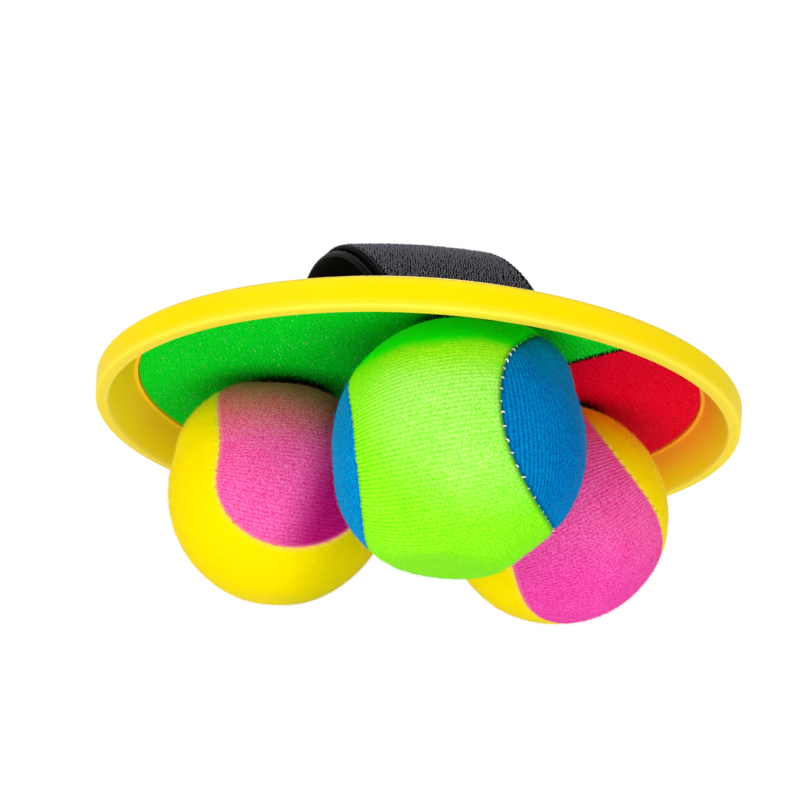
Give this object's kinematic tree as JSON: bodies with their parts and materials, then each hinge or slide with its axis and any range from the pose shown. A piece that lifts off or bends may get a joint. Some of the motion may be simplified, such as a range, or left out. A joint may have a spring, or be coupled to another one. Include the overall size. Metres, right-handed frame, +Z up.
{
  "type": "hook and loop catch set",
  "caption": "Round catching paddle with hook fabric in its dish and an arched strap on its back, lying on the soft plush balls that cling to it.",
  "frame": {"origin": "on the ground under the middle of the paddle", "axes": "+Z up, square to the paddle's face, which looks down; +Y along the strap; the front ball is towards -Y"},
  "size_m": [0.189, 0.189, 0.1066],
  "materials": {
    "rim_yellow": "satin moulded polypropylene",
    "hook_green": "woven hook tape",
    "hook_red": "woven hook tape",
    "strap_black": "smooth woven nylon",
    "strap_loop": "brushed loop pile",
    "plush_lime": "ribbed knit plush",
    "plush_blue": "ribbed knit plush",
    "plush_pink": "ribbed knit plush",
    "plush_yellow": "short velour plush",
    "filling": "bonded fibre"
  },
  "bodies": {
    "root": {"paddle_shell": "rim_yellow", "hook_face_green": "hook_green", "hook_face_red": "hook_red", "strap_lower": "strap_black", "strap_upper": "strap_loop", "ball_front_core": "filling", "ball_front_panel_blue": "plush_blue", "ball_front_panel_lime": "plush_lime", "ball_left_core": "filling", "ball_left_panel_pink": "plush_pink", "ball_left_panel_yellow": "plush_yellow", "ball_right_core": "filling", "ball_right_panel_pink": "plush_pink", "ball_right_panel_yellow": "plush_yellow"}
  },
  "joints": []
}
